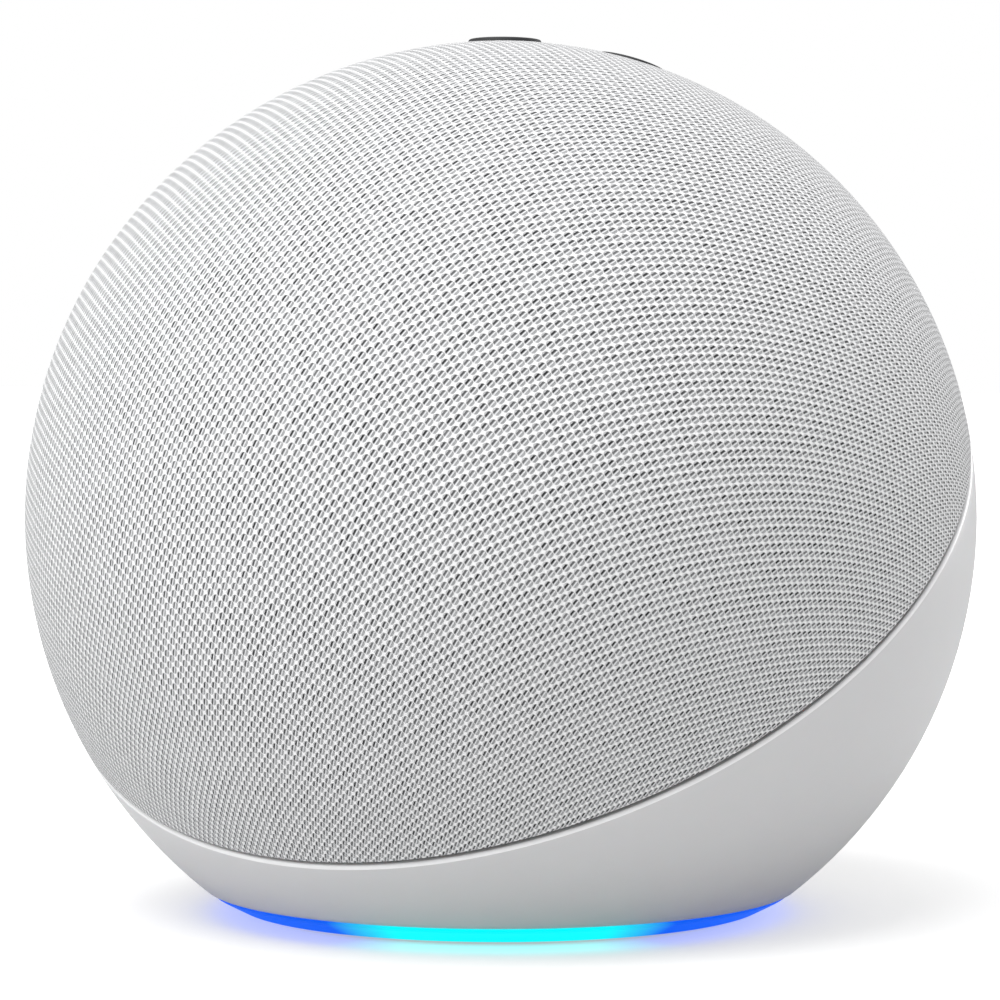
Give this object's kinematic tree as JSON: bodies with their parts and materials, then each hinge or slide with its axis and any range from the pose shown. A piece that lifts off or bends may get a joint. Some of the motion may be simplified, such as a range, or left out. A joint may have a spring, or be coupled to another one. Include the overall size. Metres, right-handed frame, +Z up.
{
  "type": "smart speaker",
  "caption": "Ball-shaped table speaker: pale knitted cover over a white bowl on a tilted seam, light ring round its flat base, press buttons on top, rear connector recess.",
  "frame": {"origin": "on the resting surface, under the centre of the ball", "axes": "+Z up; front faces -Y; +X to the right seen from the front; connectors face +Y"},
  "size_m": [0.1436, 0.1437, 0.133],
  "materials": {
    "knit_fabric": "open plain weave, pale grey-white yarn",
    "white_plastic": "satin moulded",
    "light_plastic": "translucent diffuser, lit blue and cyan",
    "inner_plastic": "fine texture",
    "button_plastic": "satin",
    "rubber": "matt",
    "brass": "turned",
    "steel": "zinc plated",
    "aluminium": "as extruded",
    "circuit_board": "green solder mask on glass-fibre laminate",
    "cone_paper": "pressed pulp",
    "copper": "enamelled copper winding",
    "foam": "closed-cell foam",
    "silk": "coated silk",
    "film": "amber polyimide film"
  },
  "bodies": {
    "cabinet": {"fabric_skin": "knit_fabric", "rear_housing": "white_plastic", "base_plate": "white_plastic", "light_ring": "light_plastic", "grille_shell": "inner_plastic", "port_panel": "inner_plastic", "dc_jack": "inner_plastic", "aux_jack": "inner_plastic", "speaker_frame": "inner_plastic", "chamber_cup": "inner_plastic", "tweeter_left_housing": "inner_plastic", "tweeter_right_housing": "inner_plastic", "tweeter_left_bracket": "inner_plastic", "tweeter_right_bracket": "inner_plastic", "button_carrier": "inner_plastic", "rubber_foot": "rubber", "woofer_surround": "rubber", "stand_insert": "brass", "woofer_basket": "steel", "pole_piece": "steel", "magnet": "steel", "yoke": "steel", "processor_shield": "steel", "switch_action": "steel", "switch_volume_up": "steel", "switch_volume_down": "steel", "switch_mic_mute": "steel", "base_screw_1": "steel", "base_screw_2": "steel", "base_screw_3": "steel", "base_screw_4": "steel", "frame_screw_1": "steel", "frame_screw_2": "steel", "frame_screw_3": "steel", "frame_screw_4": "steel", "woofer_screw_1": "steel", "woofer_screw_2": "steel", "woofer_screw_3": "steel", "woofer_screw_4": "steel", "io_screw_1": "steel", "io_screw_2": "steel", "heat_spreader": "aluminium", "light_board": "circuit_board", "io_board": "circuit_board", "main_board": "circuit_board", "button_board": "circuit_board", "woofer_gasket": "foam", "spider": "film", "aerial_left": "film", "aerial_right": "film", "button_cable": "film"},
    "button_action": {"button_action": "button_plastic"},
    "button_volume_up": {"button_volume_up": "button_plastic"},
    "button_volume_down": {"button_volume_down": "button_plastic"},
    "button_mic_mute": {"button_mic_mute": "button_plastic"},
    "woofer_cone": {"woofer_cone": "cone_paper", "dust_cap": "cone_paper", "voice_coil": "copper"},
    "tweeter_left_dome": {"tweeter_left_dome": "silk"},
    "tweeter_right_dome": {"tweeter_right_dome": "silk"}
  },
  "joints": [
    {"name": "press_action", "type": "slide", "parent": "cabinet", "child": "button_action", "axis": [0, 0.213, 0.977], "range_m": [-0.0005, 0], "stiffness_N_per_m": 600},
    {"name": "press_volume_up", "type": "slide", "parent": "cabinet", "child": "button_volume_up", "axis": [0, 0.213, 0.977], "range_m": [-0.0005, 0], "stiffness_N_per_m": 600},
    {"name": "press_volume_down", "type": "slide", "parent": "cabinet", "child": "button_volume_down", "axis": [0, 0.213, 0.977], "range_m": [-0.0005, 0], "stiffness_N_per_m": 600},
    {"name": "press_mic_mute", "type": "slide", "parent": "cabinet", "child": "button_mic_mute", "axis": [0, 0.213, 0.977], "range_m": [-0.0005, 0], "stiffness_N_per_m": 600},
    {"name": "woofer_travel", "type": "slide", "parent": "cabinet", "child": "woofer_cone", "axis": [0, -0.5817, 0.8134], "range_m": [-0.004, 0.004], "stiffness_N_per_m": 1500, "deforming": ["woofer_surround", "spider"]},
    {"name": "tweeter_left_travel", "type": "slide", "parent": "cabinet", "child": "tweeter_left_dome", "axis": [-0.6157, -0.788, 0], "range_m": [-0.00025, 0.00025], "stiffness_N_per_m": 2500},
    {"name": "tweeter_right_travel", "type": "slide", "parent": "cabinet", "child": "tweeter_right_dome", "axis": [0.6157, -0.788, 0], "range_m": [-0.00025, 0.00025], "stiffness_N_per_m": 2500}
  ]
}
